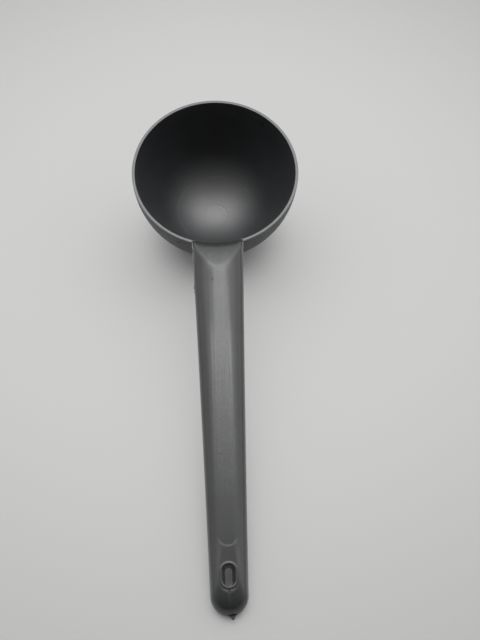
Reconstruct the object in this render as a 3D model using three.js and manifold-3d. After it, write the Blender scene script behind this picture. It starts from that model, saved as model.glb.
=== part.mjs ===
// A deep food scoop in grey moulded plastic: an egg-shaped bowl on a long crowned handle.
// Three mouldings: the bowl with its tang, and the two shells of the hollow handle that close over the tang.
// Millimetres. Every piece is drawn in the scoop's own axes: the rim in the plane z = 0, the bowl's axis
// along Z and the handle towards -Y. "Reach" is the distance from the bowl's axis along the handle.
// At the end the whole scoop is tipped to lie as it does on a table, on its bowl and its handle's end.
import * as THREE from "three";
import { mergeVertices } from "three/addons/utils/BufferGeometryUtils.js";
import Module from "manifold-3d";

// Fits
const clearance = 0.3; // gap left between two mouldings that touch
const seam = clearance / 2; // each shell stops this far from the seam plane z = 0

// Bowl
const bowlRadius = 50; // inside, at the rim
const bowlDepth = 58.8; // inside, of the egg-shaped curve
const bowlWall = 1.75; // at the rim
const bowlFloor = 2.4; // at the bottom
const rimRound = 0.35; // rounding of both edges of the rim
const gatePadRadius = 7.5; // flat round mark in the bottom, inside
const footCut = 0.7; // depth of the flat under the bowl that it lies on
const notchDepth = 2.5; // gap in the rim that takes the lip of the handle

// Tang: the tongue behind the bowl that the handle shells close over
const tangHalfWidth = 8.5;
const tangThickness = 3;
const tangLength = 32; // from the outside of the bowl
const tangCorner = 3;

// Handle in plan
const handleReach = 269.7; // bowl's axis to the rounded tip
const rootHalfWidth = 15.5; // at the bowl
const waistHalfWidth = 12.55; // half way along
const endHalfWidth = 10.15; // also the radius of the rounded end
const ledge = 0.5; // the lower shell stands out past the upper one

// Handle in height
const crownRootHeight = 8.6; // crown above the rim plane, at the bowl
const crownEndHeight = 7.6; // at the centre of the rounded end
const underRootDepth = 9; // underside below the rim plane, at the bowl
const underEndDepth = 5.6; // at the centre of the rounded end
const upperWall = 2;
const lowerWall = 2;
const crownHalfWidth = 6.1; // of the crown, between its shoulders
const crownDome = 0.45; // the middle of the crown stands this much above its shoulders
const crownLead = 12; // the dome rises over this length behind the ramp
const underFlatInset = 6; // the flat underside is this much narrower than the handle, each side
const crownEndInset = 5.4; // the crown stops this far short of the rounded end's centre
const noseLength = 20.5; // ramp from the rim up to the crown
const noseWall = 3; // thickness of the ramp's foot behind the rim
const flankFullness = 1.7; // 1 is a straight slope, 2 an ellipse
const underFullness = 2.2;

// Dished band along the crown
const bandHalfWidth = 5.6; // at the surface
const bandFloorHalfWidth = 4.7;
const bandDepth = 0.25;
const bandEndInset = 30.55; // its round end stops this far short of the rounded end's centre

// Hanging slot
const slotInset = 9.65; // its middle is this far short of the rounded end's centre
const slotHalfWidth = 3.2;
const slotHalfLength = 5.5;
const slotFlare = 0.3; // wider at the top edge
const slotFlareDepth = 0.6;
const slotDraft = 0.9; // its sleeve narrows by this much, each side, down to the underside
const slotLipWidth = 2.2;
const slotLipHeight = 0.5;
const slotLipTaper = 1.5; // the lip is a low mound: its top is narrower than its foot
const sleeveWall = 1.4;

// Tongue along the seam, and the pegs that hold the shells together
const tongueThickness = 1;
const tongueDepth = 1.6; // below the seam plane
const tongueRoot = 1.6; // above it, inside the wall of the upper shell
const tongueTaper = 0.5; // drawn in at its lower edge, to clear the curved wall of the lower shell
const bossRadius = 3.6;
const pinRadius = 1.9;
const tangPegSpacing = 14;
const tangPegInset = 9; // first peg behind the outside of the bowl
const freePegCount = 3;

// Nub of flash at the tip
const nubHalfWidth = 1.7; // at its foot
const nubTipHalfWidth = 0.5;
const nubLength = 2.5;
const nubThickness = 1.2;
const nubOffset = 1.4; // to the right of the middle
const nubLean = 0.8; // its tip leans further to the right

// Fineness of the round forms
const roundSteps = 72; // facets round the bowl
const bowlSteps = 13; // from rim to bottom
const sideSteps = 16; // along each side of the handle
const endSteps = 16; // round the handle's end
const frontSteps = 8; // across the front of the handle
const levelSteps = 6; // from the seam to the crown
const domeSteps = 3; // from a shoulder to the middle of the crown
const pegSteps = 20;

// How far a cutting shape runs past what it cuts
const overrun = 2;
const weldTolerance = 1e-4;

// Sizes that follow from those above
const bowlOuterRadius = bowlRadius + bowlWall;
const bowlOuterDepth = bowlDepth + bowlFloor;
const endCentre = handleReach - endHalfWidth;
const bandEndReach = endCentre - bandEndInset;
const slotReach = endCentre - slotInset;
const noseTop = bowlRadius + noseLength;
const upperInset = ledge + upperWall;
const tongueInset = lowerWall + clearance;
const tangTop = -notchDepth;
const tangBottom = tangTop - tangThickness;
const tangEnd = bowlOuterRadius + tangLength;
const lipHalfWidth = rootHalfWidth - ledge;
const lipBottom = clearance - notchDepth;
const socketRadius = pinRadius + clearance;
const sleeveHalfLength = slotHalfLength + sleeveWall;

const wasm = await Module();
wasm.setup();

// A closed geometry as a solid that can be joined and cut.
function solidOf(geometry) {
  const bare = geometry.clone();
  bare.deleteAttribute("normal");
  bare.deleteAttribute("uv");
  const welded = mergeVertices(bare, weldTolerance);
  const corners = welded.index.array;
  const triangles = [];
  for (let i = 0; i < corners.length; i += 3) {
    const [a, b, c] = corners.slice(i, i + 3);
    const hasArea = a !== b && b !== c && c !== a;
    if (hasArea) triangles.push(a, b, c);
  }
  const mesh = new wasm.Mesh({
    numProp: 3,
    vertProperties: welded.attributes.position.array,
    triVerts: new Uint32Array(triangles),
  });
  return new wasm.Manifold(mesh);
}

function geometryOf(solid) {
  const mesh = solid.getMesh();
  const geometry = new THREE.BufferGeometry();
  geometry.setAttribute("position", new THREE.BufferAttribute(mesh.vertProperties, 3));
  geometry.setIndex(new THREE.BufferAttribute(mesh.triVerts, 1));
  geometry.computeVertexNormals();
  return geometry;
}

// A closed skin through rings with as many points each, anticlockwise from above, the lowest ring first.
function loft(rings) {
  const count = rings[0].length;
  const positions = rings.flat().flatMap((point) => [point.x, point.y, point.z]);
  const index = [];
  for (let ring = 0; ring + 1 < rings.length; ring++) {
    for (let i = 0; i < count; i++) {
      const here = ring * count + i;
      const next = ring * count + ((i + 1) % count);
      index.push(here, next, next + count);
      index.push(here, next + count, here + count);
    }
  }
  const top = (rings.length - 1) * count;
  const lowerFaces = THREE.ShapeUtils.triangulateShape(rings[0], []);
  const upperFaces = THREE.ShapeUtils.triangulateShape(rings.at(-1), []);
  for (const [a, b, c] of lowerFaces) index.push(c, b, a);
  for (const [a, b, c] of upperFaces) index.push(top + a, top + b, top + c);
  const geometry = new THREE.BufferGeometry();
  geometry.setAttribute("position", new THREE.Float32BufferAttribute(positions, 3));
  geometry.setIndex(index);
  return solidOf(geometry);
}

// A flat outline laid at a height, which may be a function of the reach.
function ringAt(outline, height) {
  const heightOf = typeof height === "function" ? height : () => height;
  return outline.map((point) => new THREE.Vector3(point.x, point.y, heightOf(-point.y)));
}

function plate(outline, bottom, top) {
  return loft([ringAt(outline, bottom), ringAt(outline, top)]);
}

function peg(reach, radius, bottom, top) {
  const geometry = new THREE.CylinderGeometry(radius, radius, top - bottom, pegSteps);
  geometry.rotateX(Math.PI / 2);
  geometry.translate(0, -reach, (top + bottom) / 2);
  return solidOf(geometry);
}

// Heights along the handle run straight from the bowl to the rounded end.
function alongHandle(reach, rootValue, endValue) {
  return THREE.MathUtils.mapLinear(reach, bowlRadius, endCentre, rootValue, endValue);
}

function crownAt(reach) {
  return alongHandle(reach, crownRootHeight, crownEndHeight);
}

// The crown is domed: it falls off towards its shoulders.
function domeAt(reach, offset) {
  return crownAt(reach) - crownDome * (offset / crownHalfWidth) ** 2;
}

function underAt(reach) {
  return -alongHandle(reach, underRootDepth, underEndDepth);
}

// Half the handle's width at a reach: a curve through the root, the waist and the end.
function halfWidthAt(reach) {
  const along = alongHandle(reach, 0, 1);
  const pull = 2 * waistHalfWidth - (rootHalfWidth + endHalfWidth) / 2;
  const rootPart = rootHalfWidth * (1 - along) ** 2;
  const waistPart = 2 * pull * along * (1 - along);
  return rootPart + waistPart + endHalfWidth * along ** 2;
}

// A plan outline: left side, round end, right side, then across the front, anticlockwise from above.
// The front is given as a function of x, so it can be straight or follow the bowl.
function planOutline(halfWidth, frontReach, centreReach, frontAt) {
  const left = [];
  const right = [];
  for (let i = 0; i <= sideSteps; i++) {
    const reach = THREE.MathUtils.lerp(frontReach, centreReach, i / sideSteps);
    left.push(new THREE.Vector2(-halfWidth(reach), -reach));
    right.unshift(new THREE.Vector2(halfWidth(reach), -reach));
  }
  const end = [];
  const endRadius = halfWidth(centreReach);
  for (let i = 1; i < endSteps; i++) {
    const angle = (Math.PI * i) / endSteps;
    end.push(new THREE.Vector2(-endRadius * Math.cos(angle), -centreReach - endRadius * Math.sin(angle)));
  }
  const front = [];
  for (let i = 1; i < frontSteps; i++) {
    const x = THREE.MathUtils.lerp(halfWidth(frontReach), -halfWidth(frontReach), i / frontSteps);
    front.push(new THREE.Vector2(x, -frontAt(x)));
  }
  return [...left, ...end, ...right, ...front];
}

// The handle's own outline, drawn in by an inset, with its front on a circle round the bowl's axis.
function handleOutline(inset, frontRadius) {
  const frontAt = (x) => Math.sqrt(frontRadius ** 2 - x ** 2);
  const corner = frontAt(rootHalfWidth - inset);
  return planOutline((reach) => halfWidthAt(reach) - inset, corner, endCentre, frontAt);
}

// An outline of even width with a straight front and a round end.
function stripOutline(halfWidth, frontReach, centreReach) {
  return planOutline(() => halfWidth, frontReach, centreReach, () => frontReach);
}

function slotOutline(grow) {
  const half = slotHalfWidth + grow;
  const straight = slotHalfLength - slotHalfWidth;
  const outline = [];
  for (let i = 0; i < 2 * endSteps; i++) {
    const angle = (Math.PI * (i + 1 / 2)) / endSteps;
    const shift = Math.sin(angle) > 0 ? straight : -straight;
    outline.push(new THREE.Vector2(half * Math.cos(angle), half * Math.sin(angle) + shift - slotReach));
  }
  return outline;
}

// Rings that rise from a foot outline to a crown outline along a rounded flank, from the seam to the crown.
function flankRings(foot, crown, start, heightOf, fullness) {
  const rings = [];
  for (let level = 0; level <= levelSteps; level++) {
    const angle = ((Math.PI / 2) * level) / levelSteps;
    const spread = Math.cos(angle) ** (2 / fullness);
    const rise = Math.sin(angle) ** (2 / fullness);
    const outline = crown.map((point, i) => point.clone().lerp(foot[i], spread));
    rings.push(ringAt(outline, (reach) => THREE.MathUtils.lerp(start, heightOf(reach), rise)));
  }
  return rings;
}

// Strips that close in on the middle line of the handle and rise with the dome of the crown.
function domeRings(halfWidth, frontReach, centreReach, drop) {
  const rings = [];
  for (let step = 0; step <= domeSteps; step++) {
    const share = step / (domeSteps + 1);
    const offset = halfWidth * (1 - share);
    const outline = stripOutline(offset, frontReach + crownLead * share, centreReach);
    rings.push(ringAt(outline, (reach) => domeAt(reach, offset) - drop));
  }
  return rings;
}

// The egg-shaped bowl's curve from the rim down to where it meets a flat of the given radius.
function bowlCurve(radius, depth, flatRadius) {
  const last = Math.acos(flatRadius / radius);
  const points = [];
  for (let i = 1; i <= bowlSteps; i++) {
    const angle = (last * i) / bowlSteps;
    points.push(new THREE.Vector2(radius * Math.cos(angle), -depth * Math.sin(angle)));
  }
  return points;
}

function turned(profile) {
  const geometry = new THREE.LatheGeometry(profile, roundSteps);
  geometry.rotateX(Math.PI / 2);
  return solidOf(geometry);
}

// The bowl's outside, grown by a clearance and carried up past the rim.
function bowlOutside(grow) {
  const curve = bowlCurve(bowlOuterRadius + grow, bowlOuterDepth + grow, 0).reverse();
  const rimHeight = crownRootHeight + overrun;
  const profile = [
    ...curve,
    new THREE.Vector2(bowlOuterRadius + grow, 0),
    new THREE.Vector2(bowlOuterRadius + grow, rimHeight),
    new THREE.Vector2(0, rimHeight),
  ];
  return turned(profile);
}

function makeBowl() {
  const outside = bowlCurve(bowlOuterRadius, bowlOuterDepth, 0).reverse();
  const inside = bowlCurve(bowlRadius, bowlDepth, gatePadRadius);
  const profile = [
    ...outside,
    new THREE.Vector2(bowlOuterRadius, -rimRound),
    new THREE.Vector2(bowlOuterRadius - rimRound, 0),
    new THREE.Vector2(bowlRadius + rimRound, 0),
    new THREE.Vector2(bowlRadius, -rimRound),
    ...inside,
    new THREE.Vector2(0, inside.at(-1).y),
  ];
  // the notch runs through the wall, from its outside to the inner corners of the gap
  const notchHalfWidth = lipHalfWidth + clearance;
  const notchOuter = bowlOuterRadius + overrun;
  const notchInner = Math.sqrt(bowlRadius ** 2 - notchHalfWidth ** 2) - overrun;
  const notchShape = new THREE.BoxGeometry(2 * notchHalfWidth, notchOuter - notchInner, 2 * notchDepth);
  notchShape.translate(0, -(notchOuter + notchInner) / 2, 0);
  const wall = turned(profile).subtract(solidOf(notchShape));

  const tangShape = new THREE.Shape();
  const cornerReach = tangEnd - tangCorner;
  const cornerX = tangHalfWidth - tangCorner;
  tangShape.moveTo(-tangHalfWidth, -bowlRadius);
  tangShape.lineTo(-tangHalfWidth, -cornerReach);
  tangShape.absarc(-cornerX, -cornerReach, tangCorner, Math.PI, 1.5 * Math.PI);
  tangShape.absarc(cornerX, -cornerReach, tangCorner, 1.5 * Math.PI, 2 * Math.PI);
  tangShape.lineTo(tangHalfWidth, -bowlRadius);
  const tangGeometry = new THREE.ExtrudeGeometry(tangShape, { depth: tangThickness, bevelEnabled: false });
  tangGeometry.translate(0, 0, tangBottom);
  // the tang starts inside the wall and stops short of its inner face
  const innerFace = bowlRadius + bowlWall / 2;
  const core = turned([
    new THREE.Vector2(0, -bowlRadius),
    new THREE.Vector2(innerFace, -bowlRadius),
    new THREE.Vector2(innerFace, bowlRadius),
    new THREE.Vector2(0, bowlRadius),
  ]);
  const tang = solidOf(tangGeometry).subtract(core);
  let bowl = wall.add(tang);
  for (const reach of tangPegs()) {
    bowl = bowl.subtract(peg(reach, socketRadius, tangBottom - overrun, tangTop + overrun));
  }
  return bowl;
}

// Where the pegs are: two through the tang, the others spread evenly between the tang and the slot.
function tangPegs() {
  const first = bowlOuterRadius + tangPegInset;
  return [first, first + tangPegSpacing];
}

function freePegs() {
  const last = slotReach - sleeveHalfLength;
  const pitch = (last - tangEnd) / (freePegCount + 1);
  return Array.from({ length: freePegCount }, (_, i) => tangEnd + pitch * (i + 1));
}

function makeUpperShell() {
  const foot = handleOutline(ledge, bowlRadius);
  const crownEnd = endCentre - crownEndInset;
  const crown = stripOutline(crownHalfWidth, noseTop, crownEnd);
  const shoulderAt = (reach) => domeAt(reach, crownHalfWidth);
  const outerRings = flankRings(foot, crown, seam, shoulderAt, flankFullness);
  const dome = domeRings(crownHalfWidth, noseTop, crownEnd, 0).slice(1);
  const outer = loft([ringAt(foot, lipBottom), ...outerRings, ...dome]);

  // below the seam only the lip in the bowl's notch is left
  const seamSlab = plate(handleOutline(-overrun, bowlRadius - overrun), lipBottom - overrun, seam);
  const lip = plate(lipOutline(), lipBottom - 2 * overrun, seam + overrun);
  let shell = outer.subtract(seamSlab.subtract(lip));

  const innerFoot = handleOutline(upperInset, bowlRadius + noseWall);
  const innerCrown = stripOutline(crownHalfWidth - upperWall / 2, noseTop + upperWall / 2, crownEnd);
  const ceilingAt = (reach) => crownAt(reach) - upperWall;
  const innerRings = flankRings(innerFoot, innerCrown, seam, ceilingAt, flankFullness);
  shell = shell.subtract(loft([ringAt(innerFoot, -overrun), ...innerRings]));
  // room for the sleeve of the slot
  const sleeveRoom = slotOutline(sleeveWall + clearance);
  shell = shell.subtract(loft([ringAt(sleeveRoom, -overrun), ringAt(sleeveRoom, ceilingAt)]));

  // tongue that locates the shells along the seam
  const tongueFoot = handleOutline(tongueInset, bowlRadius);
  const tongueEdge = handleOutline(tongueInset + tongueTaper, bowlRadius);
  const tongueRings = [
    ringAt(tongueEdge, -tongueDepth),
    ringAt(tongueFoot, 0),
    ringAt(tongueFoot, tongueRoot),
  ];
  const tongueOuter = loft(tongueRings);
  const tongueHollow = handleOutline(tongueInset + tongueThickness, bowlRadius - overrun);
  const tongueInner = plate(tongueHollow, -tongueDepth - overrun, tongueRoot + overrun);
  shell = shell.add(tongueOuter.subtract(tongueInner).subtract(bowlOutside(clearance)));

  for (const reach of tangPegs()) shell = shell.add(upperPeg(reach, tangTop + clearance, outer));
  for (const reach of freePegs()) shell = shell.add(upperPeg(reach, seam, outer));

  // dished band along the crown, with a floor as domed as the crown, running out over the ramp
  const bandFloor = domeRings(bandFloorHalfWidth, bowlRadius, bandEndReach, bandDepth);
  const bandEdge = stripOutline(bandHalfWidth, bowlRadius, bandEndReach);
  const bandRings = [
    ...bandFloor.reverse(),
    ringAt(bandEdge, (reach) => domeAt(reach, bandHalfWidth)),
    ringAt(bandEdge, (reach) => crownAt(reach) + overrun),
  ];
  shell = shell.subtract(loft(bandRings));

  // raised lip round the slot, then the slot with its flared edge
  const lipFoot = slotOutline(slotLipWidth);
  const lipTop = slotOutline(slotLipWidth - slotLipTaper);
  const lipAt = (reach) => crownAt(reach) + slotLipHeight;
  shell = shell.add(loft([ringAt(lipFoot, shoulderAt), ringAt(lipTop, lipAt)]));
  const throat = slotOutline(0);
  const mouth = slotOutline(slotFlare);
  const slotRings = [
    ringAt(throat, -overrun),
    ringAt(throat, (reach) => lipAt(reach) - slotFlareDepth),
    ringAt(mouth, lipAt),
    ringAt(mouth, (reach) => lipAt(reach) + overrun),
  ];
  return shell.subtract(loft(slotRings));
}

// The lip that lies in the notch of the rim: a piece of the bowl's own wall in plan.
function lipOutline() {
  const outline = [];
  for (let i = 0; i <= frontSteps; i++) {
    const x = THREE.MathUtils.lerp(-lipHalfWidth, lipHalfWidth, i / frontSteps);
    outline.push(new THREE.Vector2(x, -Math.sqrt(bowlOuterRadius ** 2 - x ** 2)));
  }
  for (let i = frontSteps; i >= 0; i--) {
    const x = THREE.MathUtils.lerp(-lipHalfWidth, lipHalfWidth, i / frontSteps);
    outline.push(new THREE.Vector2(x, -Math.sqrt((bowlRadius - overrun) ** 2 - x ** 2)));
  }
  return outline;
}

// A stepped peg under the crown: a boss down to its shoulder and a pin on into the socket below.
function upperPeg(reach, shoulder, outer) {
  const pinEnd = underAt(reach) + lowerWall + clearance;
  const foot = peg(reach, bossRadius, shoulder, seam + overrun);
  const boss = peg(reach, bossRadius, shoulder, crownAt(reach)).intersect(outer);
  const pin = peg(reach, pinRadius, pinEnd, shoulder + overrun);
  return boss.add(foot).add(pin);
}

function makeLowerShell() {
  const foot = handleOutline(0, bowlRadius);
  const flat = handleOutline(underFlatInset, bowlRadius);
  const outer = loft(flankRings(foot, flat, -seam, underAt, underFullness).reverse());

  const innerFoot = handleOutline(lowerWall, bowlRadius);
  const innerFlat = handleOutline(underFlatInset + lowerWall / 2, bowlRadius);
  const floorAt = (reach) => underAt(reach) + lowerWall;
  const innerRings = flankRings(innerFoot, innerFlat, -seam, floorAt, underFullness).reverse();
  let shell = outer.subtract(loft([...innerRings, ringAt(innerFoot, overrun)]));

  for (const reach of tangPegs()) shell = shell.add(lowerSocket(reach, tangBottom - clearance, outer));
  for (const reach of freePegs()) shell = shell.add(lowerSocket(reach, -seam, outer));

  // sleeve of the slot, up to the ceiling of the upper shell
  const sleeve = slotOutline(sleeveWall);
  const sleeveTop = (reach) => crownAt(reach) - upperWall - clearance;
  const sleeveFoot = (reach) => underAt(reach) + lowerWall / 2;
  shell = shell.add(loft([ringAt(sleeve, sleeveFoot), ringAt(sleeve, sleeveTop)]));
  const throat = slotOutline(0);
  const outlet = slotOutline(-slotDraft);
  const bore = [
    ringAt(outlet, (reach) => underAt(reach) - overrun),
    ringAt(outlet, underAt),
    ringAt(throat, sleeveTop),
    ringAt(throat, crownAt),
  ];
  shell = shell.subtract(loft(bore));

  shell = shell.add(makeNub());

  // saddle against the outside of the bowl
  return shell.subtract(bowlOutside(clearance));
}

// The nub of flash at the tip: a blunt thorn that starts inside the wall.
function makeNub() {
  const tipX = nubOffset + nubLean;
  const tipY = -handleReach - nubLength;
  const rootY = -handleReach + lowerWall;
  const thorn = new THREE.Shape();
  thorn.moveTo(nubOffset - nubHalfWidth, rootY);
  thorn.lineTo(nubOffset - nubHalfWidth, -handleReach);
  thorn.lineTo(tipX - nubTipHalfWidth, tipY);
  thorn.lineTo(tipX + nubTipHalfWidth, tipY);
  thorn.lineTo(nubOffset + nubHalfWidth, -handleReach);
  thorn.lineTo(nubOffset + nubHalfWidth, rootY);
  const geometry = new THREE.ExtrudeGeometry(thorn, { depth: nubThickness, bevelEnabled: false });
  geometry.translate(0, 0, -seam - nubThickness);
  return solidOf(geometry);
}

// A boss on the floor of the lower shell with a socket for the pin.
function lowerSocket(reach, top, outer) {
  const floor = underAt(reach) + lowerWall;
  const boss = peg(reach, bossRadius, underAt(reach), top).intersect(outer);
  return boss.subtract(peg(reach, socketRadius, floor, top + overrun));
}

const greyPlastic = { color: 0x5c5d5e, roughness: 0.5, metalness: 0 };

function meshOf(name, solid) {
  const mesh = new THREE.Mesh(geometryOf(solid), new THREE.MeshStandardMaterial(greyPlastic));
  mesh.name = name;
  return mesh;
}

// The lowest height of a solid when the scoop is tipped, handle down, by an angle.
function lowest(solid, angle) {
  const corners = solid.getMesh().vertProperties;
  let height = Infinity;
  for (let i = 0; i < corners.length; i += 3) {
    height = Math.min(height, corners[i + 1] * Math.sin(angle) + corners[i + 2] * Math.cos(angle));
  }
  return height;
}

// The tip at which the handle's end touches the table as the foot's flat does, found by halving.
function restingTip(bowl, lowerShell) {
  let level = 0;
  let steep = Math.PI / 4;
  const halvings = 40;
  for (let i = 0; i < halvings; i++) {
    const middle = (level + steep) / 2;
    const bowlCarries = lowest(bowl, middle) + footCut < lowest(lowerShell, middle);
    if (bowlCarries) level = middle;
    else steep = middle;
  }
  return level;
}

// The foot: the bowl's underside cut flat along the table.
function cutFoot(bowl, tip, table) {
  const below = new THREE.BoxGeometry(2 * bowlOuterRadius, 2 * bowlOuterDepth, bowlOuterDepth);
  below.translate(0, 0, table - bowlOuterDepth / 2);
  below.rotateX(-tip);
  return bowl.subtract(solidOf(below));
}

const upperShell = makeUpperShell();
const lowerShell = makeLowerShell();
const wholeBowl = makeBowl();
const tip = restingTip(wholeBowl, lowerShell);
const bowl = cutFoot(wholeBowl, tip, lowest(lowerShell, tip));

const scoop = new THREE.Group();
scoop.add(meshOf("bowl", bowl));
scoop.add(meshOf("handle_upper_shell", upperShell));
scoop.add(meshOf("handle_lower_shell", lowerShell));

// At rest: the table is z = 0 and the scoop's box is centred over the origin.
scoop.rotation.x = tip;
const box = new THREE.Box3().setFromObject(scoop, true);
const middle = box.getCenter(new THREE.Vector3());
scoop.position.set(-middle.x, -middle.y, -box.min.z);

const part = new THREE.Group();
part.add(scoop);

export default part;
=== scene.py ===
"""The grey food scoop as the photograph shows it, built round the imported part.

Shapes are drawn in millimetres in the scoop's own axes: the rim in the plane z = 0, the bowl's axis along Z
and the handle towards -Y. "Reach" is the distance from the bowl's axis along the handle.
"""
import math

import bmesh
import bpy
import numpy as np
from mathutils import Matrix, Quaternion, Vector


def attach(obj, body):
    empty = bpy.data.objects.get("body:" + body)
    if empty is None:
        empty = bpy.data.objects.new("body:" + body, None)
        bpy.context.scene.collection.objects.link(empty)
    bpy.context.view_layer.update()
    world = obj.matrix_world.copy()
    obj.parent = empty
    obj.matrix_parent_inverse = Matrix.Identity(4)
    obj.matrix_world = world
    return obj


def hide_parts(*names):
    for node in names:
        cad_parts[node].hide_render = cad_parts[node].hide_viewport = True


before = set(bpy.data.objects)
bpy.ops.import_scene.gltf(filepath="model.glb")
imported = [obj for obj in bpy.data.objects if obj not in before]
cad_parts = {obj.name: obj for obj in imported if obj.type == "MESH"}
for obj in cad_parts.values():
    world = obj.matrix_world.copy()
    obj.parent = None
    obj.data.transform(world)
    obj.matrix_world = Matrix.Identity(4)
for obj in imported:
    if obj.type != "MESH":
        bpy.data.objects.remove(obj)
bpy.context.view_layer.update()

# How the scoop lies in the part's frame: on its bowl and its handle's end
TIP = math.radians(11.9158)
RIM_CENTRE = Vector((0.0, 0.1070581, 0.0600326))
MM = 0.001
TO_PART = Matrix.Translation(RIM_CENTRE) @ Matrix.Rotation(TIP, 4, "X") @ Matrix.Scale(MM, 4)

# Bowl
BOWL_RADIUS = 50.0
BOWL_DEPTH = 58.8
BOWL_WALL = 1.75
BOWL_FLOOR = 2.4
RIM_ROUND = 0.22
RIM_TOP = -0.035
GATE_RADIUS = 7.5
RING_RADIUS = 25.0
RING_SWELL = 0.04
RING_SPREAD = 0.007
GATE_GROOVE_DEPTH = 0.13
GATE_GROOVE_HALF_WIDTH = 0.6
NOTCH_DEPTH = 2.5
NOTCH_CUT = 10.0
TANG_HALF_WIDTH = 8.5
TANG_THICKNESS = 3.0
TANG_LENGTH = 32.0
FOOT_LIFT = 0.001

# Handle
CLEARANCE = 0.3
SEAM = CLEARANCE / 2
HANDLE_REACH = 269.7
ROOT_HALF_WIDTH = 15.5
WAIST_HALF_WIDTH = 12.55
END_HALF_WIDTH = 10.15
LEDGE = 0.5
LEDGE_END = 0.12
LEDGE_RUN = 26.0
CROWN_ROOT_HEIGHT = 8.6
CROWN_END_HEIGHT = 7.6
UNDER_ROOT_DEPTH = 9.0
UNDER_END_DEPTH = 5.6
WALL = 2.0
CROWN_HALF_WIDTH = 6.1
ROOT_LEVEL_HALF_WIDTH = 0.8
CROWN_LEVEL_HALF_WIDTH = 2.5
END_LEVEL_HALF_WIDTH = 5.0
CROWN_LEAD = 12.0
ROOT_RUN = 26.0
HIP_SHARPNESS = 5.0
UNDER_FLAT_INSET = 6.0
CROWN_END_INSET = 5.4
NOSE_LENGTH = 20.5
NOSE_WALL = 3.0
FLANK_FULLNESS = 2.0
NOSE_FULLNESS = 2.4
UNDER_FULLNESS = 2.2
BAND_HALF_WIDTH = 5.7
BAND_FLOOR_HALF_WIDTH = 4.9
BAND_DEPTH = 0.09
BAND_END_DEPTH = 0.05
BAND_END_INSET = 30.55
SLOT_INSET = 9.65
SLOT_HALF_WIDTH = 3.4
SLOT_HALF_LENGTH = 5.6
SLOT_ROUND = 0.8
SLOT_DRAFT = 1.45
SLOT_UNDERCUT = 0.5
SLOT_LIP_WIDTH = 2.1
SLOT_LIP_HEIGHT = 0.1
SLOT_LIP_TAPER = 1.5
SLOT_GROOVE_AWAY = 2.05
SLOT_GROOVE_WIDTH = 0.4
SLOT_GROOVE_DEPTH = 0.05
SLOT_GROOVE_RUN = 2.0
SLOT_GROOVE_SPAN = 4.6
SLOT_GROOVE_FADE = 2.4
SLEEVE_WALL = 1.4
NUB_HALF_WIDTH = 1.7
NUB_LENGTH = 2.5
NUB_THICKNESS = 1.2
NUB_OFFSET = 1.4
NUB_LEAN = 0.4
NUB_SLIMNESS = 0.85
NUB_BLUNTNESS = 2.2
NUB_DROP = 1.4
WELD_DEPTH = 0.3
WELD_WIDTH = 0.45
WELD_START = 1.5
WELD_RUN = 2.0

BOWL_OUTER = BOWL_RADIUS + BOWL_WALL
BOWL_OUTER_DEPTH = BOWL_DEPTH + BOWL_FLOOR
END_CENTRE = HANDLE_REACH - END_HALF_WIDTH
CROWN_END = END_CENTRE - CROWN_END_INSET
NOSE_TOP = BOWL_RADIUS + NOSE_LENGTH
SLOT_REACH = END_CENTRE - SLOT_INSET
BAND_END = END_CENTRE - BAND_END_INSET
LIP_HALF_WIDTH = ROOT_HALF_WIDTH - LEDGE
LIP_BOTTOM = CLEARANCE - NOTCH_DEPTH


# Forms of the handle
def lerp(a, b, t):
    return a + (b - a) * t


def smooth(t):
    t = min(max(t, 0.0), 1.0)
    return t * t * (3 - 2 * t)


def along(reach, root, end):
    return lerp(root, end, (reach - BOWL_RADIUS) / (END_CENTRE - BOWL_RADIUS))


def crown_at(reach):
    return along(reach, CROWN_ROOT_HEIGHT, CROWN_END_HEIGHT)


def under_at(reach):
    return -along(reach, UNDER_ROOT_DEPTH, UNDER_END_DEPTH)


def half_width(reach):
    t = along(reach, 0.0, 1.0)
    pull = 2 * WAIST_HALF_WIDTH - (ROOT_HALF_WIDTH + END_HALF_WIDTH) / 2
    return ROOT_HALF_WIDTH * (1 - t) ** 2 + 2 * pull * t * (1 - t) + END_HALF_WIDTH * t * t


def ledge_at(reach):
    """Width of the ledge along the seam: it shows at the root and almost closes further down."""
    return lerp(LEDGE, LEDGE_END, smooth((reach - BOWL_RADIUS) / LEDGE_RUN))


def on_circle(radius, x):
    return math.sqrt(radius * radius - x * x)


def slot_distance(x, reach):
    """How far a point lies outside the slot."""
    straight = SLOT_HALF_LENGTH - SLOT_HALF_WIDTH
    past = max(abs(reach - SLOT_REACH) - straight, 0.0)
    return math.hypot(x, past) - SLOT_HALF_WIDTH


def slot_edge(x, reach, grow, draft, undercut=0.0):
    """The point of the slot's edge, grown all round or drawn in at its sides, that lies towards a point."""
    dx, dy = x, reach - SLOT_REACH
    size = math.hypot(dx, dy)
    dx, dy = dx / size, dy / size
    half = SLOT_HALF_WIDTH + grow - draft
    straight = SLOT_HALF_LENGTH - SLOT_HALF_WIDTH + draft + (undercut if dy < 0 else 0.0)
    if abs(dx) > 1e-9 and abs(dy) * half / abs(dx) <= straight:
        run = half / abs(dx)
    else:
        lift = straight * abs(dy)
        run = lift + math.sqrt(lift * lift - straight * straight + half * half)
    return dx * run, SLOT_REACH + dy * run


def off_spine(x, reach, end):
    """Distance from the handle's middle line, which stops at the given reach."""
    return math.hypot(x, max(reach - end, 0.0))


def bow(share, fullness):
    """Height of a rounded flank, 1 at its top to 0 at its foot, at a share of the way out."""
    return (1 - min(max(share, 0.0), 1.0) ** fullness) ** (1 / fullness)


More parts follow.
